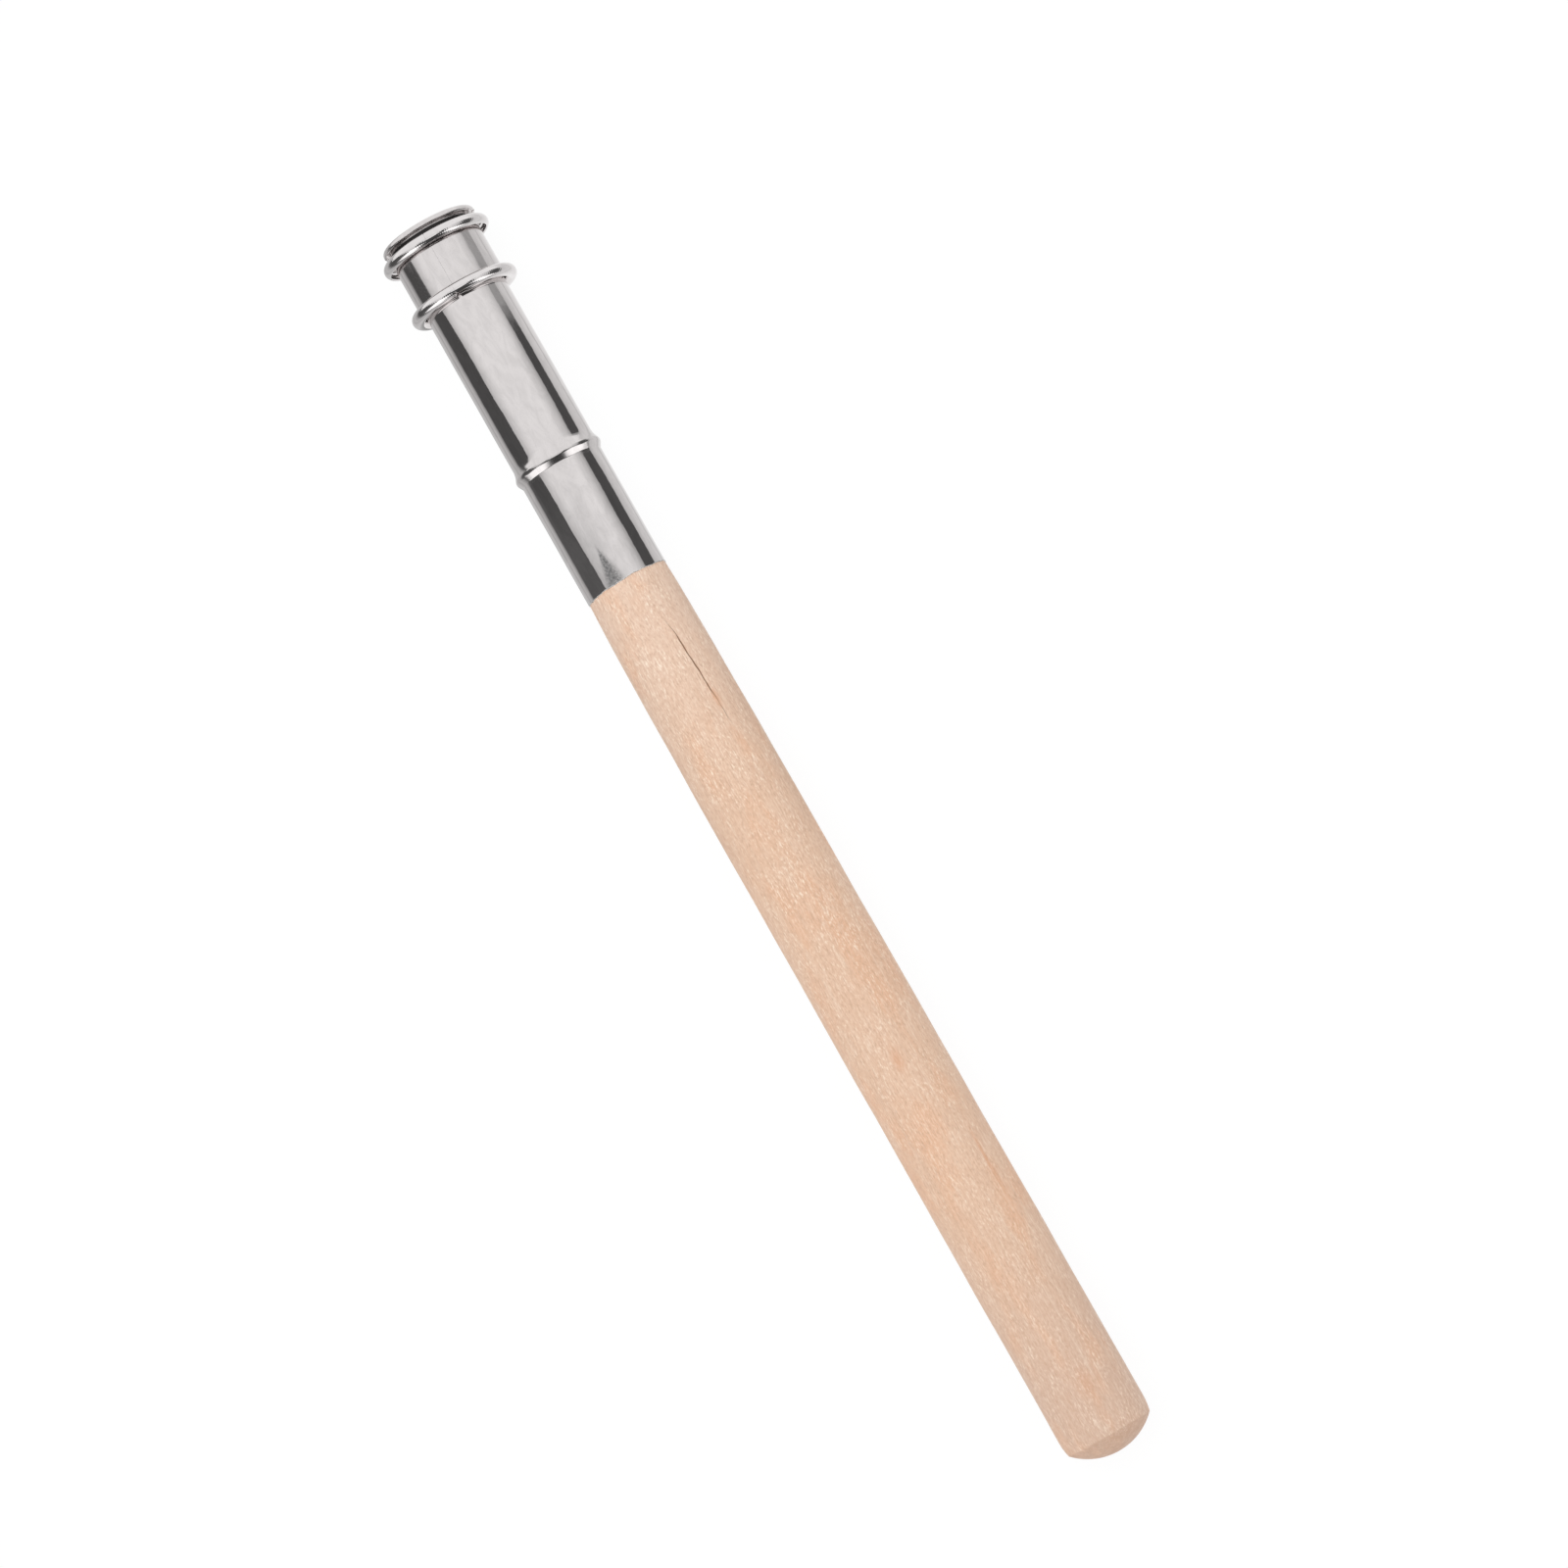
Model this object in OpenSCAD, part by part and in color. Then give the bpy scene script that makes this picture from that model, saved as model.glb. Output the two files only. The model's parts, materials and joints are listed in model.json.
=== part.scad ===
// Pencil extender. A turned wooden handle is driven into a sheet-metal ferrule.
// Two slits split the ferrule's mouth into spring jaws with a rolled lip,
// and a spool-shaped clamp ring slides along the jaws to close them on a pencil.
//
// Every piece is drawn about its own turning axis, local Z, which starts at the
// mouth and runs to the wooden end. The part lies on its side: the axis lies along X
// at the height of the ring's rolled edges, the mouth towards +X, the camera side +Z.

/* [Ferrule] */
// Outside diameter of the ferrule's tube
tube_d = 7.8; // [6.8:0.1:9.4]
// Thickness of the ferrule's sheet
sheet = 0.2; // [0.16:0.02:0.3]
// Length of the ferrule, from the rolled lip to its cut end on the wood
ferrule_length = 36.4; // [33:0.1:44]
// Outside diameter of the roll that forms the lip
lip_roll_d = 0.84; // [0.7:0.02:1.2]
// How far round the lip's roll is turned, in degrees
lip_turn = 195; // [160:5:260]

/* [Stop bead] */
// Distance from the mouth to the crest of the bead that stops the ring
stop_at = 23.9; // [21:0.1:26]
// Height of the crest above the tube
stop_height = 0.3; // [0.2:0.05:0.5]
// Radius of the bead's rounded crest
stop_crest_r = 0.9; // [0.6:0.05:1.4]
// Radius of the long hollow flare on the mouth side of the crest
stop_flare_r = 1.6; // [1:0.1:2.4]
// Radius of the short hollow foot on the wood side of the crest
stop_foot_r = 0.3; // [0.2:0.05:0.6]

/* [Jaws] */
// Width of the two slits that part the jaws
slit_w = 0.4; // [0.3:0.1:1.2]
// Unslit length of tube between the slits and the stop bead's flare
slit_land = 1.4; // [0.6:0.1:3]
// Gap at the root, where each jaw bends
root_gap = 0.05; // [0.04:0.01:0.1]

/* [Clamp ring] */
// Length of the ring over both rolled edges
ring_length = 6.34; // [5:0.02:8]
// Distance from the mouth to the ring, as it is set
ring_at = 1.14; // [0.9:0.02:8]
// Thickness of the ring's sheet
ring_sheet = 0.2; // [0.16:0.02:0.3]
// Radial clearance between the ring's bore and the tube
ring_clearance = 0.1; // [0.06:0.01:0.16]
// Outside diameter of each rolled edge
curl_d = 1.2; // [0.9:0.05:1.6]
// How far round each edge is rolled, in degrees
curl_turn = 250; // [200:5:280]
// Width of the butt seam where the ring's strip meets itself
seam_w = 0.06; // [0.04:0.01:0.12]
// Width of the notch that opens in the seam at each end of the ring
notch_w = 0.5; // [0.3:0.05:0.8]
// Length of that notch along the seam
notch_length = 0.3; // [0.2:0.05:0.6]

/* [Handle] */
// Length of the whole part, from the rolled lip to the top of the wooden dome
total_length = 123; // [100:1:150]
// Length of the tenon that is driven into the ferrule
tenon_length = 11.4; // [8:0.1:11.6]
// Chamfer on the tenon's leading edge
tenon_chamfer = 0.4; // [0.2:0.1:0.8]
// How far the wood at the ferrule's edge lies below the tube's outside
neck_step = 0.08; // [0.02:0.02:0.14]
// How far the neck swells, on the radius, to meet the body
neck_swell = 0.25; // [0.1:0.05:0.6]
// Distance over which most of that swelling happens
neck_settle = 6; // [3:0.5:12]
// How much the body thickens, on the radius, from the neck to its end
body_taper = 0.11; // [0:0.01:0.4]
// Length of the eased edge before the dome
ease_length = 1.5; // [0.8:0.1:3]
// How far that edge is eased, on the radius
ease_depth = 0.18; // [0.1:0.02:0.4]
// Height of the domed end
dome_height = 1.7; // [1:0.1:3]

/* [Hidden] */
$fn = 96;

// Finest step of a drawn arc, in degrees
arc_step = 10;
// Number of steps along the handle's swelling neck, which is drawn as a curve over
// this many times its settling distance
neck_steps = 14;
neck_shares = 3;
// A cut runs past the face that it opens by this much
overrun = 1;

tube_r = tube_d / 2;
bore_r = tube_r - sheet;
lip_roll_r = lip_roll_d / 2;

// Centres are [radius, distance from the mouth]. The lip's roll touches the bore
// and the mouth's plane.
lip_centre = [bore_r + lip_roll_r, lip_roll_r];
// The crest's circle stands stop_height above the tube, and the flare's and the
// foot's circles touch both it and the tube.
crest_centre = [tube_r + stop_height - stop_crest_r, stop_at];
flare_drop = stop_flare_r + stop_crest_r - stop_height;
flare_run = sqrt(pow(stop_flare_r + stop_crest_r, 2) - pow(flare_drop, 2));
flare_angle = atan2(flare_run, flare_drop);
flare_centre = [tube_r + stop_flare_r, stop_at - flare_run];
foot_drop = stop_foot_r + stop_crest_r - stop_height;
foot_run = sqrt(pow(stop_foot_r + stop_crest_r, 2) - pow(foot_drop, 2));
foot_angle = atan2(foot_run, foot_drop);
foot_centre = [tube_r + stop_foot_r, stop_at + foot_run];

// The slits end short of the flare.
jaw_length = stop_at - flare_run - slit_land;

ring_bore_r = tube_r + ring_clearance;
curl_r = curl_d / 2;
front_curl_centre = [ring_bore_r + curl_r, ring_at + curl_r];
back_curl_centre = [ring_bore_r + curl_r, ring_at + ring_length - curl_r];
// The ring's rolled edges stand furthest from the axis, so the part lies on them.
axis_height = ring_bore_r + curl_d;

neck_r = tube_r - neck_step;
body_r = neck_r + neck_swell;
body_length = total_length - ferrule_length - dome_height - ease_length;
end_r = body_r + body_taper;
crease_r = end_r - ease_depth;
dome_r = (pow(crease_r, 2) + pow(dome_height, 2)) / (2 * dome_height);
dome_angle = asin(crease_r / dome_r);
ease_r = (pow(ease_length, 2) + pow(ease_depth, 2)) / (2 * ease_depth);
ease_angle = asin(ease_length / ease_r);

// Points of an arc from one angle to another, both ends included.
function arc(centre, radius, from, to) =
    let (steps = max(1, ceil(abs(to - from) / arc_step)))
    [for (i = [0:steps])
        let (angle = from + (to - from) * i / steps)
        centre + radius * [cos(angle), sin(angle)]];

function reversed(points) = [for (i = [len(points) - 1:-1:0]) points[i]];

// A sheet's section runs down one face and back up the other.
function sheet_section(face, back) = concat(face, reversed(back));

// One face of the ferrule's sheet, at a depth below the tube's outside, from the
// lip's cut edge to the ferrule's end: roll, tube, flare, crest, foot and tube.
function ferrule_face(depth) = concat(
    arc(lip_centre, lip_roll_r - sheet + depth, 180 + lip_turn, 180),
    arc(flare_centre, stop_flare_r + depth, 180, 180 - flare_angle),
    arc(crest_centre, stop_crest_r - depth, -flare_angle, foot_angle),
    arc(foot_centre, stop_foot_r + depth, 180 + foot_angle, 180),
    [[tube_r - depth, ferrule_length]]);

// One face of the ring's sheet, at a depth below the sleeve's outside, from one
// rolled edge to the other.
function ring_face(depth) = concat(
    arc(front_curl_centre, curl_r - ring_sheet + depth, 180 + curl_turn, 180),
    arc(back_curl_centre, curl_r - ring_sheet + depth, 180, 180 - curl_turn));

// The handle's radius at a distance beyond the ferrule: a quick swelling that
// settles into a slow taper.
function handle_r(run) =
    neck_r + neck_swell * (1 - exp(-run / neck_settle)) + body_taper * run / body_length;

// Lays a piece down: local Z goes to -X, local X to +Z.
module lay_down() {
    translate([total_length / 2, 0, axis_height])
        rotate([0, -90, 0])
            children();
}

// A block of the given height above the plane that parts the jaws, from one
// distance along the axis to another.
module half_block(from, to) {
    reach = axis_height + overrun;
    translate([slit_w / 2, -reach, from])
        cube([reach, 2 * reach, to - from]);
}

// The whole ferrule as it is spun, before its mouth is slit.
module spun_ferrule() {
    rotate_extrude()
        polygon(sheet_section(ferrule_face(0), ferrule_face(sheet)));
}

// One of the two spring jaws, the half above the slits.
module jaw() {
    intersection() {
        spun_ferrule();
        half_block(-overrun, jaw_length);
    }
}

module jaw_upper() {
    color([0.80, 0.79, 0.79])
        lay_down()
            jaw();
}

module jaw_lower() {
    color([0.80, 0.79, 0.79])
        lay_down()
            mirror([1, 0, 0])
                jaw();
}

// The rest of the ferrule: the unslit tube, the stop bead and the sleeve that
// holds the tenon.
module ferrule() {
    reach = axis_height + overrun;
    color([0.80, 0.79, 0.79])
        lay_down()
            difference() {
                spun_ferrule();
                translate([-reach, -reach, -overrun])
                    cube([2 * reach, 2 * reach, jaw_length + root_gap + overrun]);
            }
}

// The notch that opens at one end of the seam, as a wedge with its base on the end.
module seam_notch() {
    rotate([90, 0, 90])
        linear_extrude(axis_height + overrun)
            polygon([
                [-notch_w / 2, 0],
                [notch_w / 2, 0],
                [seam_w / 2, notch_length],
                [-seam_w / 2, notch_length]]);
}

// A rolled strip with both edges curled outwards, butted on the camera side.
module clamp_ring() {
    color([0.78, 0.77, 0.77])
        lay_down()
            difference() {
                rotate_extrude()
                    polygon(sheet_section(ring_face(0), ring_face(ring_sheet)));
                translate([0, -seam_w / 2, ring_at - overrun])
                    cube([axis_height + overrun, seam_w, ring_length + 2 * overrun]);
                translate([0, 0, ring_at])
                    seam_notch();
                translate([0, 0, ring_at + ring_length])
                    mirror([0, 0, 1])
                        seam_notch();
            }
}

// The turned handle: a chamfered tenon inside the ferrule, a shoulder against the
// ferrule's edge, the swelling neck, the tapered body, an eased edge and a dome.
module handle() {
    tenon_face = ferrule_length - tenon_length;
    body_end = ferrule_length + body_length;
    color([0.90, 0.76, 0.64])
        lay_down()
            rotate_extrude()
                polygon(concat(
                    [[0, tenon_face],
                     [bore_r - tenon_chamfer, tenon_face],
                     [bore_r, tenon_face + tenon_chamfer],
                     [bore_r, ferrule_length]],
                    [for (i = [0:neck_steps])
                        let (run = neck_shares * neck_settle * i / neck_steps)
                        [handle_r(run), ferrule_length + run]],
                    arc([end_r - ease_r, body_end], ease_r, 0, ease_angle),
                    arc([0, total_length - dome_r], dome_r, 90 - dome_angle, 90)));
}

handle();
ferrule();
jaw_upper();
jaw_lower();
clamp_ring();
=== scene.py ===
"""Pencil extender: a turned wooden handle, a spun ferrule with slit spring jaws, and a
sliding clamp ring with rolled edges, lying on a pale table under soft light."""
import json
from math import atan2, cos, pi, radians, sin, sqrt, tan

import bpy
import numpy as np
from bpy.props import FloatProperty, FloatVectorProperty, IntProperty, PointerProperty
from bpy.types import Operator, Panel, PropertyGroup
from mathutils import Matrix, Vector


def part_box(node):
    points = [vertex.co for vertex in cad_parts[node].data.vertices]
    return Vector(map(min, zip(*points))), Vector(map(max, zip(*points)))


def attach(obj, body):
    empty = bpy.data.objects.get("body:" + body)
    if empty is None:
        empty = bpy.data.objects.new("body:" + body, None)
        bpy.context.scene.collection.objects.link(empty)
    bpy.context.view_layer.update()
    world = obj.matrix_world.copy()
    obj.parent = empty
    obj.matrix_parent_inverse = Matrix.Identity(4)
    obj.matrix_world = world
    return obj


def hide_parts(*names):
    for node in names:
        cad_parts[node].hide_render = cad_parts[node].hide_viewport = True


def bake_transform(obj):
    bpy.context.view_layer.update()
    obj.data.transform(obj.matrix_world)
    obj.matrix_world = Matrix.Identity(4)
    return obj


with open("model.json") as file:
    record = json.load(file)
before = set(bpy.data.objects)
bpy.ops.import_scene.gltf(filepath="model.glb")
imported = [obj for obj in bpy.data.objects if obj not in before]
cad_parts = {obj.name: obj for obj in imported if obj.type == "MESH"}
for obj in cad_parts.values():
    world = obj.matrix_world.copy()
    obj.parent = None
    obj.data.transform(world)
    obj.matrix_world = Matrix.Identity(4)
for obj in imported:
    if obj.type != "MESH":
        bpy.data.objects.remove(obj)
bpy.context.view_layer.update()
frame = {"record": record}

bl_info = {
    "name": "Pencil extender",
    "version": (1, 0, 0),
    "blender": (4, 5, 0),
    "location": "3D View > Sidebar > Pencil extender",
    "description": "Builds a pencil extender with a wooden handle, spring jaws and a clamp ring",
    "category": "Add Mesh",
}

# The model's own box and places, in metres. Distances along the part are measured
# from the mouth, and angles round it from the top towards +Y.
SLEEVE_LOW, SLEEVE_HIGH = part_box("ferrule")
_, JAW_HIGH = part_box("jaw_upper")
RING_LOW, RING_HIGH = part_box("clamp_ring")
WOOD_LOW, WOOD_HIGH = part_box("handle")
SOCKET = frame["record"]["mounts"][0]
MM = 0.001
MOUTH_X = JAW_HIGH.x
AXIS_Z = (RING_LOW.z + RING_HIGH.z) / 2
SHEET = 0.2 * MM
BORE_R = SOCKET["dims"]["r_mm"] * MM
TUBE_R = BORE_R + SHEET
BEAD_HEIGHT = (SLEEVE_HIGH.z - SLEEVE_LOW.z) / 2 - TUBE_R
FERRULE_END = MOUTH_X - SLEEVE_LOW.x
JAW_ROOT = MOUTH_X - SLEEVE_HIGH.x
WOOD_END = MOUTH_X - WOOD_LOW.x
TENON_FACE = MOUTH_X - WOOD_HIGH.x
RING_AT = MOUTH_X - RING_HIGH.x
RING_LENGTH = RING_HIGH.x - RING_LOW.x
RING_R = (RING_HIGH.z - RING_LOW.z) / 2

# How finely the pieces are meshed
ARC_STEP = radians(5)
BEAD_STEP = radians(2)
RUN_STEP = 0.4 * MM
COLUMNS = 360
EDGE_POINTS = 6


def length(name, about, value, high=1.0):
    """A property that holds a length in metres, given here in millimetres."""
    return FloatProperty(name=name, description=about, default=value * MM, min=0.0, max=high,
                         precision=6, unit="LENGTH", subtype="DISTANCE")


def angle(name, about, value):
    """A property that holds an angle, given here in degrees."""
    return FloatProperty(name=name, description=about, default=radians(value),
                         unit="ROTATION", subtype="ANGLE")


def colour(name, about, value):
    """A property that holds a linear colour."""
    return FloatVectorProperty(name=name, description=about, default=value, size=3,
                               min=0.0, max=1.0, subtype="COLOR")


class PENCILEXT_PG_ferrule(PropertyGroup):
    """Sizes and finish of the spun ferrule and its two jaws."""
    sheet: length("Sheet", "Thickness of the ferrule's sheet", 0.2)
    lip_roll_r: length("Lip roll", "Outside radius of the roll that forms the lip", 0.42)
    lip_turn: angle("Lip turn", "How far round the lip's roll is turned", 195)
    bead_at: length("Bead", "Distance from the mouth to the stop bead's crest", 23.9)
    bead_crest_r: length("Crest", "Radius of the bead's rounded crest", 0.5)
    bead_flare_r: length("Flare", "Radius of the hollow flare before the crest", 2.05)
    bead_flank: angle("Flank", "Slope of the flank behind the crest", 28)
    bead_foot_r: length("Foot", "Radius of the hollow foot behind the flank", 0.15)
    slit_w: length("Slit", "Width of the slits between the jaws", 0.25)
    edge_round: length("Edge", "Depth of the rounding on a cut edge", 0.04)
    uneven: length("Uneven", "Height of the low swellings", 0.006)
    skew: length("Skew", "How far the cut end leans to the +Y side", 0.1)
    dent_depth: length("Dent", "Depth of the dent at the cut end", 0.11)
    metal: colour("Metal", "Colour of the plating", (0.724, 0.693, 0.688))


class PENCILEXT_PG_ring(PropertyGroup):
    """Sizes and finish of the clamp ring."""
    sheet: length("Sheet", "Thickness of the ring's sheet", 0.2)
    curl_r: length("Roll", "Outside radius of each rolled edge", 0.6)
    curl_turn: angle("Turn", "How far round each edge is rolled", 250)
    seam_w: length("Seam", "Width of the butt seam", 0.01)
    seam_turn: angle("Seam angle", "Where the seam lies, from the top towards +Y", 5)
    notch_w: length("Notch", "Width of the seam's notch at the back end", 0.5)
    front_notch_w: length("Front notch", "Width of its notch at the front end", 0.1)
    notch_length: length("Notch length", "Length of each notch along the seam", 0.3)
    edge_round: length("Edge", "Depth of the rounding on a cut edge", 0.04)
    uneven: length("Uneven", "Height of the low swellings", 0.005)
    ribs: IntProperty(name="Ribs", description="Fine ribs round each rolled edge", default=156)
    metal: colour("Metal", "Colour of the plating", (0.718, 0.687, 0.683))


class PENCILEXT_PG_handle(PropertyGroup):
    """Sizes and finish of the wooden handle."""
    chamfer: length("Chamfer", "Chamfer on the tenon", 0.4)
    neck_step: length("Step", "How far the wood lies below the ferrule's edge", 0.08)
    neck_swell: length("Swell", "How far the neck swells, on the radius", 0.25)
    neck_settle: length("Settle", "Distance over which most of that happens", 6)
    body_taper: length("Taper", "How much the body thickens, on the radius", 0.11)
    ease_length: length("Ease", "Length of the eased edge", 1.5)
    ease_depth: length("Ease depth", "How far the edge is eased, on the radius", 0.18)
    dome_height: length("Dome", "Height of the domed end", 1.7)
    uneven: length("Uneven", "Height of the low swellings", 0.012)
    crack_depth: length("Crack", "Depth of the crack in the neck", 0.09)
    neck_tone: colour("Neck", "Colour of the wood at the ferrule", (0.815, 0.585, 0.445))
    body_tone: colour("Body", "Colour of the wood at mid length", (0.775, 0.52, 0.365))
    end_tone: colour("End", "Colour of the wood near the dome", (0.68, 0.465, 0.345))
    # The dome's colour is its darker end grain and painted shade on the rounded end
    dome_grain_and_shade_tone: colour("Dome colour", "Colour of the domed end grain", (0.62, 0.39, 0.27))
    # Colour of the painted shade in the crack
    crack_shade_tone: colour("Dark", "Colour in the crack", (0.27, 0.13, 0.07))


class PENCILEXT_PG_stage(PropertyGroup):
    """Camera, lamp, table and light from all round."""
    lens: FloatProperty(name="Lens", description="Focal length in mm", default=121.14)
    sensor: FloatProperty(name="Sensor", description="Sensor width in mm", default=36.0)
    distance: length("Distance", "From the aim to the camera", 460.7, high=10.0)
    tilt: angle("Tilt", "How far the camera leans towards the wooden end", 5.878)
    roll: angle("Roll", "How far the camera is turned about its own axis", 29.601)
    aim: FloatVectorProperty(name="Aim", description="Where the camera looks", size=3,
                             default=(2.987 * MM, -3.268 * MM, AXIS_Z), subtype="XYZ",
                             unit="LENGTH")
    floor: colour("Table", "Colour of the table", (0.9, 0.9, 0.9))
    fill: FloatProperty(name="Fill", description="Light from all round", default=0.72)
    key: FloatProperty(name="Key", description="Power of the lamp overhead in watts", default=1.77)


def arc(centre, radius, start, end, step=ARC_STEP):
    """Points [radius, distance] on a circle about centre, from one angle to another:
    the centre plus the circle's radius times the cosine and sine of evenly spaced angles."""
    count = max(2, int(np.ceil(abs(end - start) / step)) + 1)
    turn = np.linspace(start, end, count)
    return np.stack([centre[0] + radius * np.cos(turn), centre[1] + radius * np.sin(turn)], 1)


def run(start, end, step=RUN_STEP):
    """Evenly spaced points on the straight line from start to end."""
    gap = np.hypot(end[0] - start[0], end[1] - start[1])
    share = np.linspace(0, 1, max(2, int(np.ceil(gap / step)) + 1))[:, None]
    return (1 - share) * np.array(start) + share * np.array(end)


def joined(*runs):
    """Runs of points end to end, without the doubled point where one meets the next."""
    return np.concatenate([runs[0]] + [points[1:] for points in runs[1:]])


def sheet_section(middle, sheet, edge_round):
    """The closed section of a bent sheet: its middle line moved half a thickness to each
    side along the normal, and closed at both ends by half an ellipse."""
    along = np.gradient(middle, axis=0)
    along /= np.linalg.norm(along, axis=1)[:, None]
    across = np.stack([along[:, 1], -along[:, 0]], 1) * sheet / 2
    turn = np.linspace(0, pi, EDGE_POINTS + 2)[1:-1, None]
    bulge = edge_round * np.sin(turn)
    far = middle[-1] + along[-1] * bulge + across[-1] * np.cos(turn)
    near = middle[0] - along[0] * bulge - across[0] * np.cos(turn)
    return np.concatenate([middle + across, far, (middle - across)[::-1], near])


def rim_rows(section, at_mouth):
    """The first and last row of the cut face at one end of a sheet's section."""
    faces = len(section) // 2 - EDGE_POINTS
    if at_mouth:
        return 2 * faces + EDGE_POINTS - 1, 0
    return faces - 1, faces + EDGE_POINTS


# Tables of waves: height, number round, drift of the phase in radians a metre, phase
SWELLINGS = [(1.0, 2, 290, 0.0), (0.6, 3, -510, 1.3), (0.5, 5, 870, 2.1)]
RAGGED_WAVES = [(0.25, 7, 0, 0.4), (0.15, 17, 0, 2), (0.1, 31, 0, 0)]


def waves(rows, turn, distance=0):
    """A sum of sines of an angle, or of a way, with phases that drift along the part."""
    return sum(height * np.sin(count * turn + drift * distance + phase)
               for height, count, drift, phase in rows)


def place(distance, radius, turn):
    """Points of the part from the distance behind the mouth, the radius and the angle."""
    distance, radius, turn = np.broadcast_arrays(distance, radius, turn)
    return np.stack([MOUTH_X - distance, radius * np.sin(turn),
                     AXIS_Z + radius * np.cos(turn)], -1)


def ring_of_quads(rows, columns, close_rows, close_columns):
    """Corner numbers of the quads of a grid, which may close on itself either way."""
    row = np.arange(rows if close_rows else rows - 1)[:, None]
    column = np.arange(columns if close_columns else columns - 1)[None, :]
    next_row = (row + 1) % rows
    next_column = (column + 1) % columns
    corners = [row * columns + column, row * columns + next_column,
               next_row * columns + next_column, next_row * columns + column]
    return np.stack([np.broadcast_to(c, (row.size, column.size)) for c in corners],
                    -1).reshape(-1, 4)


def end_walls(rows, columns):
    """The two flat walls that close a bent sheet's section, each a strip of quads from
    the outer face to the inner face: a point is paired with the one that the section's
    loop reaches after as many steps the other way."""
    half = EDGE_POINTS // 2
    faces = rows // 2 - EDGE_POINTS
    step = np.arange(-half, faces + half - 1)
    pair = 2 * faces + EDGE_POINTS - 1
    corners = np.stack([step, step + 1, pair - step - 1, pair - step], 1) % rows
    first = corners * columns
    last = corners[:, ::-1] * columns + columns - 1
    return np.concatenate([first, last])


def new_piece(name, points, material, smooth_faces, flat_faces=(), marks=None, columns=1,
              sharp_rows=()):
    """A mesh object from points and lists of corner numbers, put in as whole arrays. The
    edges that run along a sharp row of the grid, or down the first or last column where
    flat walls start there, break the smooth shading."""
    points = points.reshape(-1, 3)
    groups = [(faces, True) for faces in smooth_faces] + [(faces, False) for faces in flat_faces]
    corners = np.concatenate([faces.ravel() for faces, _ in groups])
    sizes = np.concatenate([np.full(len(faces), faces.shape[1]) for faces, _ in groups])
    smooth = np.concatenate([np.full(len(faces), is_smooth) for faces, is_smooth in groups])
    mesh = bpy.data.meshes.new(name)
    mesh.vertices.add(len(points))
    mesh.vertices.foreach_set("co", points.astype(np.float32).ravel())
    mesh.loops.add(len(corners))
    mesh.loops.foreach_set("vertex_index", corners.astype(np.int32))
    mesh.polygons.add(len(sizes))
    starts = np.concatenate([[0], np.cumsum(sizes)[:-1]])
    mesh.polygons.foreach_set("loop_start", starts.astype(np.int32))
    mesh.polygons.foreach_set("use_smooth", smooth)
    for mark, values in (marks or {}).items():
        layer = mesh.attributes.new(mark, "FLOAT", "POINT")
        layer.data.foreach_set("value", values.astype(np.float32).ravel())
    mesh.update(calc_edges=True)
    ends = np.empty(2 * len(mesh.edges), np.int32)
    mesh.edges.foreach_get("vertices", ends)
    rows, places = np.divmod(ends.reshape(-1, 2), columns)
    sharp = (rows[:, 0] == rows[:, 1]) & np.isin(rows[:, 0], list(sharp_rows))
    if len(flat_faces):
        sharp |= (places[:, 0] == places[:, 1]) & np.isin(places[:, 0], [0, columns - 1])
    mesh.edges.foreach_set("use_edge_sharp", sharp)
    mesh.validate()
    mesh.materials.append(material)
    piece = bpy.data.objects.new(name, mesh)
    bpy.context.collection.objects.link(piece)
    return piece


def new_sheet(name, points, material, all_round, marks=None, sharp_rows=()):
    """A piece of bent sheet, whose section closes on itself: it runs all round the axis,
    or ends in two flat walls."""
    rows, columns = points.shape[:2]
    faces = ring_of_quads(rows, columns, True, all_round)
    walls = [] if all_round else [end_walls(rows, columns)]
    return new_piece(name, points, material, [faces], walls, marks, columns, sharp_rows)


def bell(value, width):
    """One at zero, falling off on both sides as a bell curve of the given width."""
    return np.exp(-(value / width) ** 2)


def rise(value, start, end):
    """A smooth step from zero at start to one at end."""
    share = np.clip((value - start) / (end - start), 0, 1)
    return share * share * (3 - 2 * share)


# The dent at the ferrule's cut end: a wedge whose tip lies towards the mouth. Shares of
# its width and length say where it is deepest and where its scuffing, darkened partly with
# painted shade, comes and goes.
DENT_TIP = 32.7 * MM
DENT_TIP_TURN = radians(11)
DENT_LOW_TURN = radians(-5.5)
DENT_HIGH_TURN = radians(22)
DENT_TIP_WIDTH = radians(1)
DENT_PAST = 1.2 * MM
DEEPEST = 0.65
SCUFF_SHADE_IN = (-0.1, 0.55)
SCUFF_SHADE_OUT = (0.85, 1.25)
SCUFF_SHADE_START = (0, 0.25)


def dent(distance, turn):
    """How deep the dent is, and how scuffed the metal in it, whose darkening is partly wear
    and partly painted shade, each from zero to one: it opens from its tip to the cut end,
    with a steep wall on one side and a long slope on the other, and the wood under it is
    pressed in just past the end."""
    way = np.clip((distance - DENT_TIP) / (FERRULE_END - DENT_TIP), 0, 1)
    low = DENT_TIP_TURN + (DENT_LOW_TURN - DENT_TIP_TURN) * way
    high = DENT_TIP_TURN + (DENT_HIGH_TURN - DENT_TIP_TURN) * way
    across = (turn - low) / np.maximum(high - low, DENT_TIP_WIDTH)
    past = rise(distance, FERRULE_END, FERRULE_END + DENT_PAST)
    depth = 1 - rise(across, DEEPEST, 1)
    depth = depth * rise(across, 0, DEEPEST) * np.sqrt(way) * (1 - past)
    scuff_and_shade = rise(across, *SCUFF_SHADE_IN) * (1 - rise(across, *SCUFF_SHADE_OUT))
    return depth, scuff_and_shade * rise(way, *SCUFF_SHADE_START)


def wrapped(turn):
    """The same angle between minus and plus half a turn."""
    return (turn + pi) % (2 * pi) - pi


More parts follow.
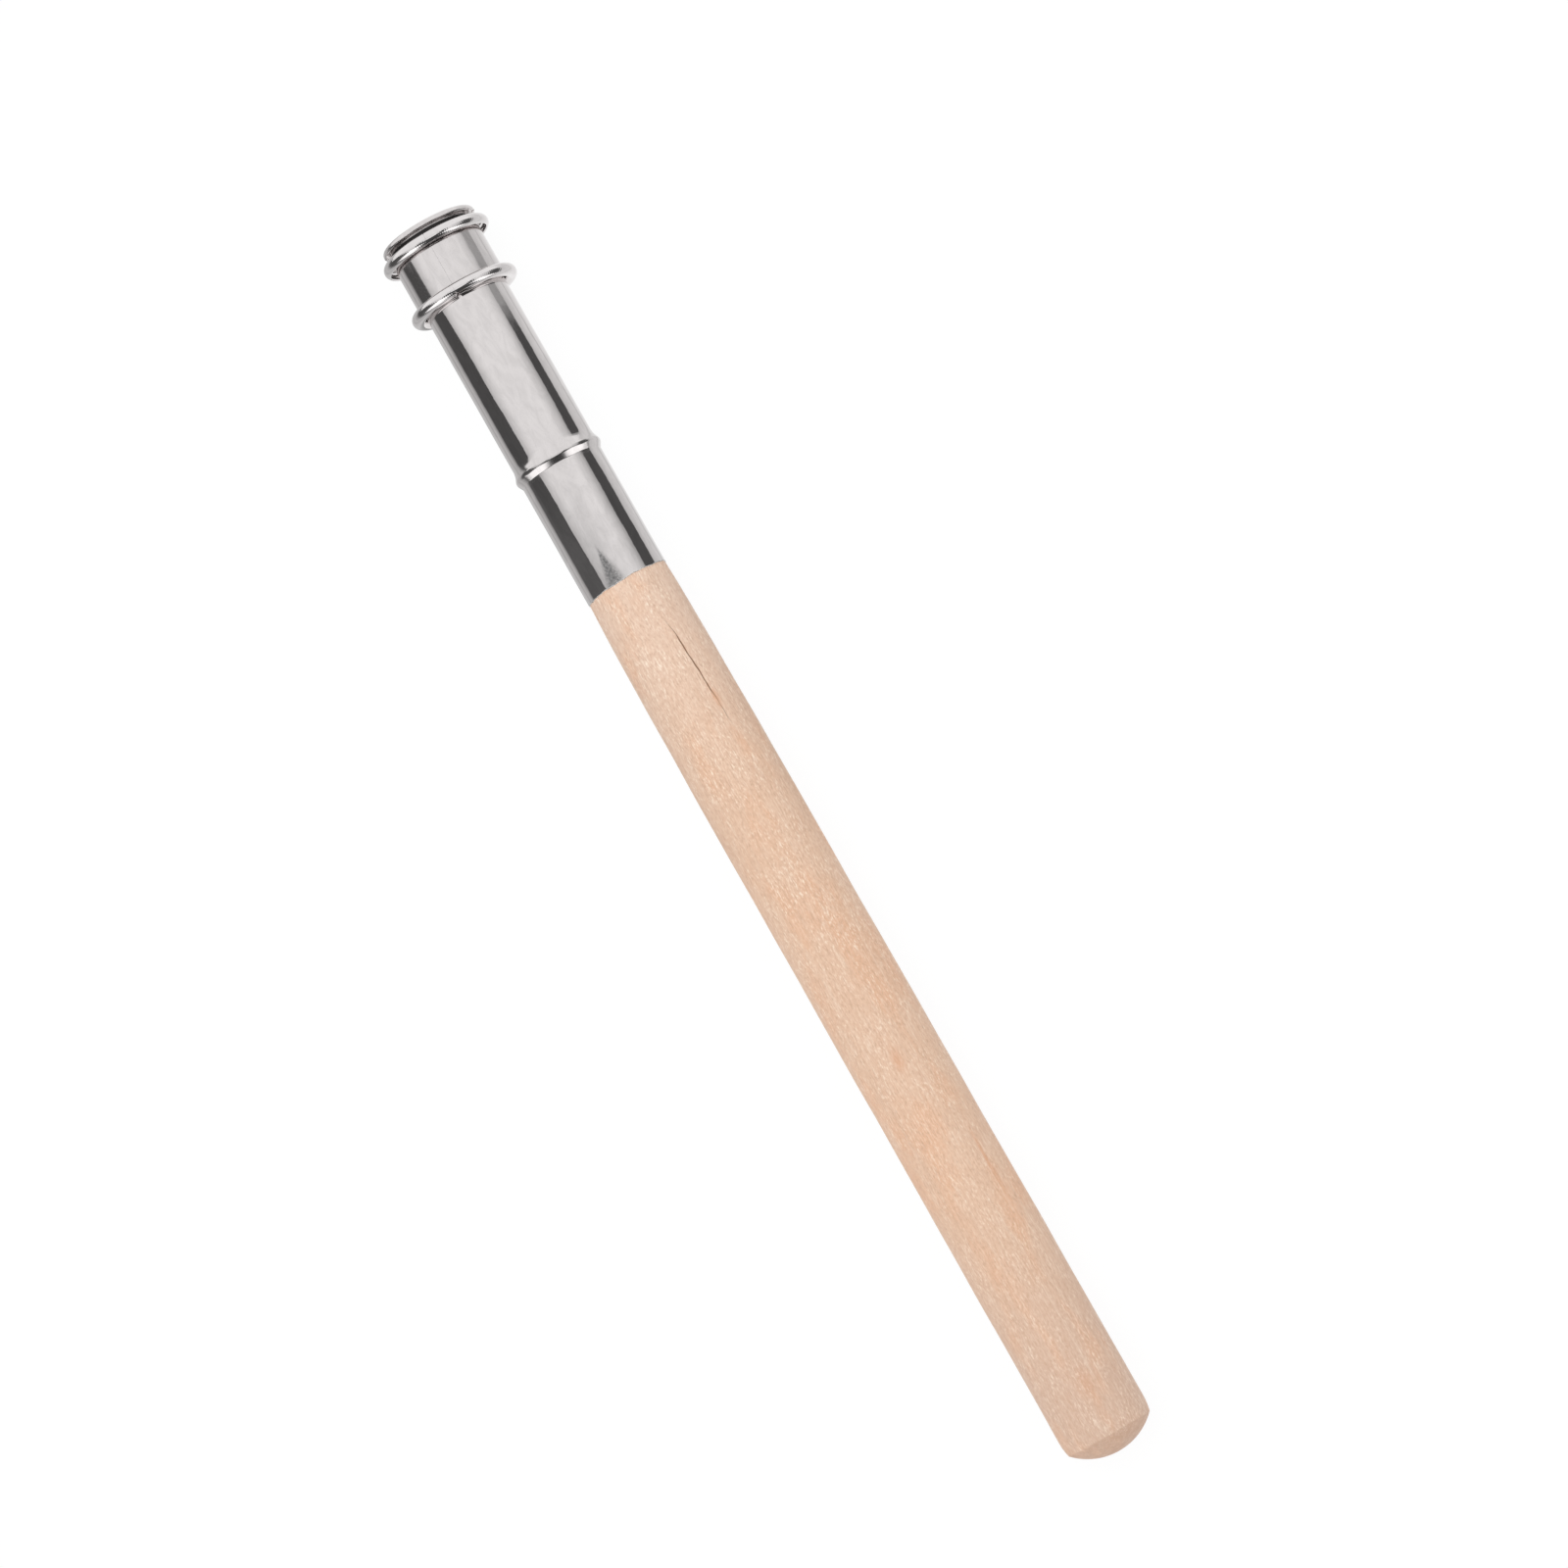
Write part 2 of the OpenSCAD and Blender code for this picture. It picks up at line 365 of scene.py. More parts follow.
def end_shift(distance, turn, skew):
    """How far the cut end and the wood's shoulder wander along the part: a lean to one
    side and a few small ragged waves, fading out over 3 mm on both sides."""
    lean = skew * (np.sin(turn) + waves(RAGGED_WAVES, turn))
    return lean * bell(distance - FERRULE_END, 3 * MM)


class Finish:
    """Short calls that fill the node tree of a material or of the world."""

    def __init__(self, owner):
        owner.use_nodes = True
        self.owner = owner
        self.tree = owner.node_tree
        self.tree.nodes.clear()

    def add(self, kind, inputs=None, **settings):
        """A node of that kind, its settings set, and its inputs given values or links."""
        node = self.tree.nodes.new(kind)
        for key, value in settings.items():
            setattr(node, key, value)
        for key, value in (inputs or {}).items():
            self.feed(node.inputs[key], value)
        return node

    def feed(self, socket, value):
        """Links an output to a socket, or sets its value, with its alpha on a colour."""
        if isinstance(value, bpy.types.NodeSocket):
            self.tree.links.new(value, socket)
        else:
            socket.default_value = (*value, 1.0) if socket.type == "RGBA" else value

    def shown(self, shader, kind="ShaderNodeOutputMaterial"):
        """Joins a shader to the output, and returns the material or the world."""
        self.add(kind, {"Surface": shader.outputs[0]})
        return self.owner

    def math(self, operation, *values, clamp=False):
        """The result of a math node."""
        node = self.add("ShaderNodeMath", operation=operation, use_clamp=clamp)
        for socket, value in zip(node.inputs, values):
            self.feed(socket, value)
        return node.outputs[0]

    def plus(self, first, second):
        """The sum of two values."""
        return self.math("ADD", first, second)

    def less(self, first, second):
        """The first value less the second."""
        return self.math("SUBTRACT", first, second)

    def times(self, first, second):
        """The product of two values."""
        return self.math("MULTIPLY", first, second)

    def band(self, value, low, high, to_low=0.0, to_high=1.0):
        """A value mapped smoothly from one range to another and held at its ends."""
        node = self.add("ShaderNodeMapRange", interpolation_type="SMOOTHSTEP", clamp=True)
        for key, number in enumerate((value, low, high, to_low, to_high)):
            self.feed(node.inputs[key], number)
        return node.outputs[0]

    def between(self, value, start, full, wane, end):
        """A smooth step up, and down again from wane to end."""
        return self.times(self.band(value, start, full), self.band(value, wane, end, 1.0, 0.0))

    def blend(self, share, first, second):
        """Two colours mixed by a share."""
        node = self.add("ShaderNodeMix", {0: share, 6: first, 7: second}, data_type="RGBA")
        return node.outputs[2]

    def stretched(self, source, scale):
        """Coordinates scaled by a different number along each axis."""
        node = self.add("ShaderNodeVectorMath", {0: source, 1: scale}, operation="MULTIPLY")
        return node.outputs[0]

    def noise(self, where, scale, detail=2.0, roughness=0.5, distortion=0.0):
        """Soft noise between zero and one, with that many waves a millimetre, or with a
        number of its own for each axis."""
        if isinstance(scale, tuple):
            where, scale = self.stretched(where, scale), 1.0
        node = self.add("ShaderNodeTexNoise", {"Vector": where, "Scale": scale, "Detail": detail,
                                               "Roughness": roughness, "Distortion": distortion})
        return node.outputs[0]

    def mark(self, name):
        """The number that is written on the mesh's points under that name."""
        return self.add("ShaderNodeAttribute", attribute_name=name).outputs["Fac"]

    def bump(self, height, distance, strength=1.0, normal=None):
        """A normal bent by a height in the given distance."""
        node = self.add("ShaderNodeBump", {"Height": height, "Distance": distance,
                                           "Strength": strength})
        if normal is not None:
            self.feed(node.inputs["Normal"], normal)
        return node.outputs[0]

    def millimetres(self):
        """The piece's own coordinates in millimetres, and their three parts."""
        texture_place = self.add("ShaderNodeTexCoord").outputs["Object"]
        scaled = self.stretched(texture_place, (1000, 1000, 1000))
        parts = self.add("ShaderNodeSeparateXYZ", {"Vector": scaled})
        return scaled, *parts.outputs

    def round_parts(self, across, up):
        """The radius from the part's axis in millimetres, and the angle from the top."""
        lift = self.less(up, AXIS_Z / MM)
        radius = self.math("SQRT", self.plus(self.times(across, across), self.times(lift, lift)))
        return radius, self.math("ARCTAN2", across, lift)


# Colours on the plating, and how dark its clouding is beside its own colour
BORE_GREY = (0.30, 0.28, 0.27)
# Whitish painted sheen on the ring's rolled edges
ROLL_SHEEN_WHITE = (0.92, 0.9, 0.9)
# Near-black painted shade for the gap behind the lip's roll
LIP_GAP_SHADE_BLACK = (0.02, 0.018, 0.018)
# Dark grey in the dent, partly wear and partly painted shade, and painted shade round the dent
SCUFF_AND_SHADE_GREY = (0.17, 0.17, 0.17)
BURR_GREY = (0.72, 0.71, 0.7)
BURR_WHITE = (0.97, 0.96, 0.95)
CLOUD_SHADE = 0.89
# Roughness where each plating is smoothest and where it is roughest
FERRULE_ROUGH = (0.04, 0.08)
RING_ROUGH = (0.07, 0.14)
# Heights of the fine relief that only bends the light
RELIEF = 0.02 * MM
RIB_RELIEF = 0.0014 * MM
SCRAPE_RELIEF = 0.015 * MM
# Millimetres from the mouth where a finish or a painted shade starts and is full, or wanes
# and ends, or both. Round the dent the colour is darkened with painted shade that stands
# for a darker reflection there, most at one angle and less over a width.
# The first reach is for the painted shade behind the lip's roll.
LIP_GAP_SHADE_REACH = (0.62, 0.72, 1.1, 1.4)
BEAD_REACH = (22.6, 23.2, 24.8, 25.1)
LIP_REACH = (0.75, 0.95)
DENT_SHADE_REACH = (26.5, 34.5)
DENT_SHADE_TURN = radians(16)
DENT_SHADE_WIDTH = radians(17)


def plated_metal(name, sizes, ribs=0):
    """Bright plated sheet: smooth and faintly clouded outside, duller in the bore, with
    the ring's ribs and painted sheen, or the ferrule's wear and painted shade."""
    make = Finish(bpy.data.materials.new(name))
    where, x, y, z = make.millimetres()
    radius, turn = make.round_parts(y, z)
    back = make.less(MOUTH_X / MM, x)
    cloud = make.noise(where, (0.5, 1.2, 1.2), 5.0, 0.7, 0.8)
    fine = make.noise(where, (0.6, 5, 5), 4.0, 0.6)
    dents = make.noise(where, (0.35, 0.7, 0.7), 3.0, 0.55)
    bore = make.band(radius, BORE_R / MM + 0.02, BORE_R / MM + 0.08, 1.0, 0.0)
    clouded = [channel * CLOUD_SHADE for channel in sizes.metal]
    tone = make.blend(make.band(cloud, 0.35, 0.7), sizes.metal, clouded)
    tone = make.blend(make.times(bore, 0.45), tone, BORE_GREY)
    rough = make.band(fine, 0.3, 0.75, *(RING_ROUGH if ribs else FERRULE_ROUGH))
    rough = make.plus(rough, make.times(bore, 0.25))
    normal = make.bump(dents, RELIEF, 0.6)
    if ribs:
        tone, normal = ribbed(make, where, radius, turn, ribs, tone, normal)
    else:
        tone, rough, normal = wear_and_painted_shade(make, where, radius, turn, back, tone, rough, normal)
    shader = make.add("ShaderNodeBsdfPrincipled", {"Base Color": tone, "Metallic": 1.0,
                                                   "Roughness": rough, "Normal": normal})
    return make.shown(shader)


def ribbed(make, where, radius, turn, ribs, tone, normal):
    """The ring's rolled edges: a little lighter, a painted sheen, and finely ribbed over their
    crests. The ribs are a sine of the angle round the part, and its phase drifts with a noise."""
    drift = make.times(make.noise(where, 1.5), 8.0)
    wave = make.math("SINE", make.plus(make.times(turn, float(ribs)), drift))
    crest = make.band(radius, RING_R / MM - 0.3, RING_R / MM - 0.08)
    grain = make.plus(wave, make.noise(where, 7.0))
    normal = make.bump(make.times(grain, crest), RIB_RELIEF, 1.0, normal)
    # Painted sheen: the rolled edges are coloured a little lighter, for brighter reflections on
    # them.
    roll = make.band(radius, TUBE_R / MM + 0.35, TUBE_R / MM + 0.6)
    return make.blend(make.times(roll, 0.25), tone, ROLL_SHEEN_WHITE), normal


def wear_and_painted_shade(make, where, radius, turn, back, tone, rough, normal):
    """The ferrule's wear and painted shade: painted shade, near black, in the roll behind its
    lip; duller on the lip and on the bead; painted shade round the dent; scratched in the
    dent, where the darkening is partly wear and partly painted shade; and rough and bright
    on the cut end."""
    outside = make.band(radius, TUBE_R / MM - 0.1, TUBE_R / MM - 0.06)
    # Painted shade: the back of the lip's roll and the tube just behind it are coloured near
    # black, and made rougher, for the shade in the narrow gap before the ring.
    groove = make.times(make.between(back, *LIP_GAP_SHADE_REACH), outside)
    tone = make.blend(make.times(groove, 0.97), tone, LIP_GAP_SHADE_BLACK)
    # Painted shade round the dent towards the cut end, to one side: a darker reflection there,
    # painted into the colour.
    aside = make.math("ABSOLUTE", make.less(turn, DENT_SHADE_TURN))
    dent_shade = make.times(make.band(back, *DENT_SHADE_REACH), make.band(aside, 0.0, DENT_SHADE_WIDTH, 1.0, 0.0))
    tone = make.blend(make.times(dent_shade, 0.3), tone, SCUFF_AND_SHADE_GREY)
    # In the dent the colour is darkened: partly wear, partly painted shade.
    scuff_and_shade = make.mark("scuff_and_shade")
    scrape = make.noise(where, (4, 5, 5), 4.0, 0.7)
    scraped_and_shaded = make.times(scuff_and_shade, make.band(scrape, 0.35, 0.68, 0.95, 0.4))
    tone = make.blend(scraped_and_shaded, tone, SCUFF_AND_SHADE_GREY)
    burr = make.mark("burr")
    grit = make.noise(where, 9.0, 3.0, 0.7)
    gritty = make.blend(make.band(grit, 0.4, 0.6), BURR_GREY, BURR_WHITE)
    tone = make.blend(burr, tone, gritty)
    bead = make.between(back, *BEAD_REACH)
    lip = make.band(back, *LIP_REACH, 1.0, 0.0)
    for spot, more in ((groove, 0.3), (bead, 0.1), (lip, 0.14), (scuff_and_shade, 0.2), (burr, 0.45)):
        rough = make.plus(rough, make.times(spot, more))
    normal = make.bump(make.times(scrape, scuff_and_shade), SCRAPE_RELIEF, 1.0, normal)
    normal = make.bump(make.times(grit, burr), RELIEF, 1.0, normal)
    return tone, rough, normal


# Noises in the wood: waves a millimetre along and across the grain, detail, roughness
# and, for one of them, distortion
WOOD_NOISES = {
    "patch": ((0.12, 0.35, 0.35), 3.0, 0.5),
    "streak": ((0.045, 2.6, 2.6), 5.0, 0.62),
    "fibre": ((0.5, 7, 7), 4.0, 0.65),
    "fleck": ((2.4, 8, 8), 3.0, 0.6),
    "cluster": ((0.35, 0.7, 0.7), 2.0, 0.5, 0.4),
    "blotch": ((0.7, 1.3, 1.3), 3.0, 0.6),
    "pore": ((0.9, 6.5, 6.5), 2.0, 0.5),
    "end grain": ((1.0, 1.6, 1.6), 4.0, 0.65),
}
# Colours laid over the wood, before and after its light flecks: the noise, two values
# of it, the colour's share at each, and the colour
UNDER_FLECKS = [
    ("patch", 0.45, 0.68, 0.0, 0.55, (0.80, 0.45, 0.27)),
    ("streak", 0.30, 0.50, 0.28, 0.0, (0.62, 0.40, 0.27)),
    ("streak", 0.55, 0.75, 0.0, 0.35, (0.92, 0.74, 0.60)),
    ("fibre", 0.5, 0.7, 0.0, 0.35, (0.95, 0.79, 0.65)),
    ("fibre", 0.3, 0.48, 0.3, 0.0, (0.66, 0.42, 0.28)),
]
OVER_FLECKS = [
    ("blotch", 0.3, 0.5, 0.3, 0.0, (0.70, 0.46, 0.33)),
    ("fleck", 0.32, 0.46, 0.6, 0.0, (0.60, 0.37, 0.25)),
    ("pore", 0.64, 0.74, 0.0, 0.35, (0.50, 0.28, 0.17)),
]
FLECK_WHITE = (0.98, 0.82, 0.68)
STAIN_BROWN = (0.70, 0.34, 0.18)
# Millimetres from the mouth over which the neck's colour turns into the body's, the
# body's into the end's and the end's into the dome's, and the light flecks grow fainter
NECK_TO_BODY = (38.0, 62.0)
BODY_TO_END = (95.0, 120.0)
END_TO_DOME = (WOOD_END / MM - 1.9, WOOD_END / MM - 1.6)
FLECKS_FADE = (40.0, 110.0)


def layered(make, tone, noises, layers):
    """The layers' colours, laid over a tone one after another."""
    for name, low, high, low_share, high_share, layer_tone in layers:
        share = make.band(noises[name], low, high, low_share, high_share)
        tone = make.blend(share, tone, layer_tone)
    return tone


def bare_wood(name, sizes):
    """Pale bare wood, sanded: its tone drifts along the handle, with fine fibres, short
    dark pores, faint long streaks, warm patches, darker end grain on the dome, partly
    painted shade, and a crack darkened with painted shade."""
    make = Finish(bpy.data.materials.new(name))
    where, x, _, _ = make.millimetres()
    back = make.less(MOUTH_X / MM, x)
    noises = {key: make.noise(where, *row) for key, row in WOOD_NOISES.items()}
    tone = make.blend(make.band(back, *NECK_TO_BODY), sizes.neck_tone, sizes.body_tone)
    tone = make.blend(make.band(back, *BODY_TO_END), tone, sizes.end_tone)
    tone = layered(make, tone, noises, UNDER_FLECKS)
    strength = make.times(make.band(noises["cluster"], 0.36, 0.6, 0.4, 1.0),
                          make.band(back, *FLECKS_FADE, 1.0, 0.65))
    light = make.times(make.band(noises["fleck"], 0.5, 0.7), strength)
    tone = make.blend(light, tone, FLECK_WHITE)
    tone = layered(make, tone, noises, OVER_FLECKS)
    tone = make.blend(make.times(make.mark("stain"), 0.65), tone, STAIN_BROWN)
    # The dome is darker: partly its end grain, partly painted shade on the rounded end.
    dome = make.times(make.band(back, *END_TO_DOME),
                      make.band(noises["end grain"], 0.35, 0.62, 0.85, 0.25))
    tone = make.blend(dome, tone, sizes.dome_grain_and_shade_tone)
    # Painted shade in the crack: the deeper the groove, the darker it is coloured.
    tone = make.blend(make.mark("crack"), tone, sizes.crack_shade_tone)
    height = make.plus(make.times(noises["fibre"], 0.6), make.times(noises["fleck"], 0.5))
    normal = make.bump(height, RELIEF, 0.6)
    rough = make.band(noises["fibre"], 0.3, 0.7, 0.5, 0.64)
    shader = make.add("ShaderNodeBsdfPrincipled",
                      {"Base Color": tone, "Roughness": rough, "Normal": normal})
    return make.shown(shader)


def lip_run(sizes):
    """Middle line of the sheet from the lip's cut edge round its roll to the bore."""
    centre = (BORE_R + sizes.lip_roll_r, sizes.lip_roll_r)
    radius = sizes.lip_roll_r - sizes.sheet / 2
    trim = sizes.edge_round / radius
    return arc(centre, radius, pi + sizes.lip_turn - trim, pi)


def bead_run(sizes):
    """Middle line of the sheet over the stop bead: a hollow flare and a rounded crest,
    two circles that touch, then a straight flank down to a small hollow foot."""
    half = sizes.sheet / 2
    crest_centre = (TUBE_R + BEAD_HEIGHT - sizes.bead_crest_r, sizes.bead_at)
    flare_reach = sizes.bead_flare_r + sizes.bead_crest_r
    flare_drop = flare_reach - BEAD_HEIGHT
    flare_run = sqrt(flare_reach ** 2 - flare_drop ** 2)
    flare_turn = atan2(flare_run, flare_drop)
    slope = sizes.bead_flank
    foot_reach = sizes.bead_foot_r + sizes.bead_crest_r
    flank_drop = BEAD_HEIGHT - foot_reach * (1 - cos(slope))
    foot_run = foot_reach * sin(slope) + flank_drop / tan(slope)
    return joined(
        arc((TUBE_R + sizes.bead_flare_r, sizes.bead_at - flare_run),
            sizes.bead_flare_r + half, pi, pi - flare_turn, BEAD_STEP),
        arc(crest_centre, sizes.bead_crest_r - half, -flare_turn, slope, BEAD_STEP),
        arc((TUBE_R + sizes.bead_foot_r, sizes.bead_at + foot_run),
            sizes.bead_foot_r + half, pi + slope, pi, BEAD_STEP))


# How far from the cut end its burr starts, has a row of points, and is full
BURR_START = 0.12 * MM
BURR_ROW = 0.11 * MM
BURR_FULL = 0.04 * MM


def ferrule_points(section, turn, sizes):
    """The section carried round the axis, with the spinning's swellings, the leaning
    ragged end and the dent, and the marks that tell the burred places and the scuffed
    places, which also take painted shade."""
    radius = section[:, :1]
    distance = section[:, 1:]
    turned = wrapped(turn)
    pressed, scuff_and_shade = dent(distance, turned)
    radius = radius + sizes.uneven * waves(SWELLINGS, turned, distance)
    radius = radius - sizes.dent_depth * pressed
    shift = end_shift(distance, turned, sizes.skew)
    burr = rise(distance, FERRULE_END - BURR_START, FERRULE_END - BURR_FULL) + 0 * turned
    points = place(distance + shift, radius, turned)
    return points, {"scuff_and_shade": scuff_and_shade, "burr": burr}


class PENCILEXT_OT_ferrule(Operator):
    """The sleeve and stop bead: the unslit part of the spun sheet"""
    bl_idname = "pencilext.ferrule"
    bl_label = "Ferrule"

    def execute(self, context):
        sizes = context.scene.pencilext_ferrule
        middle_r = TUBE_R - sizes.sheet / 2
        bead = bead_run(sizes)
        burr_row = (middle_r, FERRULE_END - BURR_ROW)
        middle = joined(run((middle_r, JAW_ROOT), bead[0]), bead, run(bead[-1], burr_row),
                        run(burr_row, (middle_r, FERRULE_END - sizes.edge_round)))
        section = sheet_section(middle, sizes.sheet, sizes.edge_round)
        # The root end stays flat, because the jaws go on from it.
        section[:, 1] = np.maximum(section[:, 1], JAW_ROOT)
        turn = np.linspace(0, 2 * pi, COLUMNS, endpoint=False)[None, :]
        points, marks = ferrule_points(section, turn, sizes)
        piece = new_sheet("ferrule_skin", points, plated_metal("plated_ferrule", sizes), True,
                          marks, rim_rows(section, at_mouth=True))
        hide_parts("ferrule")
        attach(piece, "grip")
        return {"FINISHED"}


class PENCILEXT_OT_jaws(Operator):
    """The two spring jaws with the rolled lip"""
    bl_idname = "pencilext.jaws"
    bl_label = "Spring jaws"

    def execute(self, context):
        sizes = context.scene.pencilext_ferrule
        middle_r = TUBE_R - sizes.sheet / 2
        lip = lip_run(sizes)
        bend = (middle_r, JAW_ROOT - sizes.edge_round)
        middle = joined(lip, run(lip[-1], bend), run(bend, (middle_r, JAW_ROOT)))
        section = sheet_section(middle, sizes.sheet, sizes.edge_round)
        section[:, 1] = np.minimum(section[:, 1], JAW_ROOT)
        half = np.arccos(sizes.slit_w / 2 / section[:, :1])
        spread = np.linspace(-1, 1, COLUMNS // 2 + 1)[None, :] * half
        material = plated_metal("plated_jaws", sizes)
        for node, body, start in (("jaw_upper", "upper", 0.0), ("jaw_lower", "lower", pi)):
            points, marks = ferrule_points(section, spread + start, sizes)
            piece = new_sheet(node + "_skin", points, material, False, marks,
                              rim_rows(section, at_mouth=False))
            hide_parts(node)
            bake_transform(piece)
        return {"FINISHED"}


# Turns the ring's swellings away from the tube's
RING_SWELL_TURN = 1.7


class PENCILEXT_OT_ring(Operator):
    """The clamp ring: a strip with both edges rolled outwards, butted near the top"""
    bl_idname = "pencilext.ring"
    bl_label = "Clamp ring"

    def execute(self, context):
        sizes = context.scene.pencilext_ring
        inner_r = RING_R - 2 * sizes.curl_r
        roll_r = sizes.curl_r - sizes.sheet / 2
        trim = sizes.edge_round / roll_r
        front = (inner_r + sizes.curl_r, RING_AT + sizes.curl_r)
        back = (inner_r + sizes.curl_r, RING_AT + RING_LENGTH - sizes.curl_r)
        front_roll = arc(front, roll_r, pi + sizes.curl_turn - trim, pi)
        back_roll = arc(back, roll_r, pi, pi - sizes.curl_turn + trim)
        middle = joined(front_roll, run(front_roll[-1], back_roll[0]), back_roll)
        section = sheet_section(middle, sizes.sheet, sizes.edge_round)
        radius = section[:, :1]
        distance = section[:, 1:]
        # The seam's gap widens evenly to each end over the length of its notch.
        at_front = distance < RING_AT + RING_LENGTH / 2
        inside = np.where(at_front, distance - RING_AT, RING_AT + RING_LENGTH - distance)
        opening = 1 - np.clip(inside / sizes.notch_length, 0, 1)
        widest = np.where(at_front, sizes.front_notch_w, sizes.notch_w)
        half_gap = (sizes.seam_w + (widest - sizes.seam_w) * opening) / 2
        gap = np.arcsin(half_gap / radius)
        share = np.linspace(0, 1, COLUMNS)[None, :]
        turn = sizes.seam_turn + gap + (2 * pi - 2 * gap) * share
        radius = radius + sizes.uneven * waves(SWELLINGS, turn + RING_SWELL_TURN, distance)
        piece = new_sheet("clamp_ring_skin", place(distance, radius, turn),
                          plated_metal("plated_ring", sizes, sizes.ribs), False)
        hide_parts("clamp_ring")
        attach(piece, "ring")
        return {"FINISHED"}


# The crack in the neck runs aslant from its head to its tail: shares of that way, the
# angle in degrees at each, and the waves that its line makes on the way
CRACK_HEAD = 40.7 * MM
CRACK_TAIL = 52.6 * MM
CRACK_WAY_SHARES = (0.0, 0.145, 0.87, 1.0)
CRACK_TURNS = (-18.0, -22.3, -28.5, -29.5)
CRACK_WAVER = [(radians(0.35), 23, 0, 0), (radians(0.2), 57, 0, 1)]
CRACK_HALF_W = 0.045 * MM
# How much darker the crack is coloured than it is deep: painted shade in the groove
CRACK_SHADE_STRENGTH = 1.3
# Stains in the wood: millimetres from the mouth, angle in degrees, half length and half
# width in millimetres, and strength
STAINS = [(49.4, -27.0, 0.9, 0.28, 0.9), (84.6, 0.0, 1.0, 0.45, 0.8),
          (95.5, -37.0, 2.4, 0.16, 1.0), (116.3, -5.0, 1.3, 0.5, 0.5)]


def crack(distance, turn):
    """How deep the crack is, from zero to one: a narrow groove along a wavering line. It
    deepens in two steps, is half as deep past its middle, and closes at its tail."""
    way = (distance - CRACK_HEAD) / (CRACK_TAIL - CRACK_HEAD)
    line = np.radians(np.interp(way, CRACK_WAY_SHARES, CRACK_TURNS)) + waves(CRACK_WAVER, way)
    depth = 0.35 * rise(way, 0, 0.1) + 0.65 * rise(way, 0.08, 0.22)
    depth = depth * (1 - 0.5 * rise(way, 0.6, 0.75)) * (1 - rise(way, 0.85, 1))
    half = CRACK_HALF_W * (0.7 + 0.5 * bell(way - 0.4, 0.25) + 0.2 * np.sin(way * 31))
    return depth * bell((turn - line) * TUBE_R, half)


def stained(distance, turn):
    """How strongly the wood is stained, from zero to one: a few soft oval spots."""
    spots = [strength * bell(np.hypot((distance / MM - at) / half_length,
                                      (turn - radians(side)) * TUBE_R / MM / half_width), 1.0)
             for at, side, half_length, half_width, strength in STAINS]
    return np.maximum.reduce(spots)


# Rows of points along the wood from the ferrule's end, with starts, ends and counts,
# where the body's rows run on to its end, and degrees between the columns. Both lie
# close together over the crack.
NECK_ROWS = (0, 3.5 * MM, 14)
CRACK_ROWS = (3.7 * MM, 16.5 * MM, 86)
BODY_ROWS = (17.2 * MM, 92)
EASE_ROWS = 8
DOME_ROWS = 25
COLUMN_STEP = 1.5
CRACK_STEP = 0.3
CRACK_COLUMNS = (-32, -14)
# The swellings end this far inside the ferrule
SWELL_OVERLAP = 0.5 * MM


def handle_profile(sizes):
    """The handle's half section, and how many points its tenon and its dome take: the
    chamfered tenon, the neck's swelling, which settles as an exponential into an even
    taper, and the circles of the eased edge and the dome."""
    neck_r = TUBE_R - sizes.neck_step
    body_end = WOOD_END - sizes.dome_height - sizes.ease_length
    body = body_end - FERRULE_END
    along = np.concatenate([np.linspace(*NECK_ROWS), np.linspace(*CRACK_ROWS),
                            np.linspace(BODY_ROWS[0], body, BODY_ROWS[1])])
    swell = (neck_r + sizes.neck_swell * (1 - np.exp(-along / sizes.neck_settle))
             + sizes.body_taper * along / body)
    end_r = swell[-1]
    crease_r = end_r - sizes.ease_depth
    ease_r = (sizes.ease_length ** 2 + sizes.ease_depth ** 2) / (2 * sizes.ease_depth)
    ease_turn = np.arcsin(sizes.ease_length / ease_r)
    dome_r = (crease_r ** 2 + sizes.dome_height ** 2) / (2 * sizes.dome_height)
    dome_turn = np.arcsin(crease_r / dome_r)
    ease = np.linspace(0, ease_turn, EASE_ROWS + 1)[1:]
    ease_points = np.stack([end_r - ease_r + ease_r * np.cos(ease),
                            body_end + ease_r * np.sin(ease)], 1)
    dome = np.linspace(dome_turn, 0, DOME_ROWS + 1)[1:]
    dome_points = np.stack([dome_r * np.sin(dome), WOOD_END - dome_r + dome_r * np.cos(dome)], 1)
    flat = (BORE_R - sizes.chamfer, TENON_FACE)
    chamfered = (BORE_R, TENON_FACE + sizes.chamfer)
    tenon = joined(run((0, TENON_FACE), flat), run(flat, chamfered),
                   run(chamfered, (BORE_R, FERRULE_END)))
    profile = np.concatenate([tenon, np.stack([swell, FERRULE_END + along], 1),
                              ease_points, dome_points])
    return profile, len(tenon), len(dome_points)


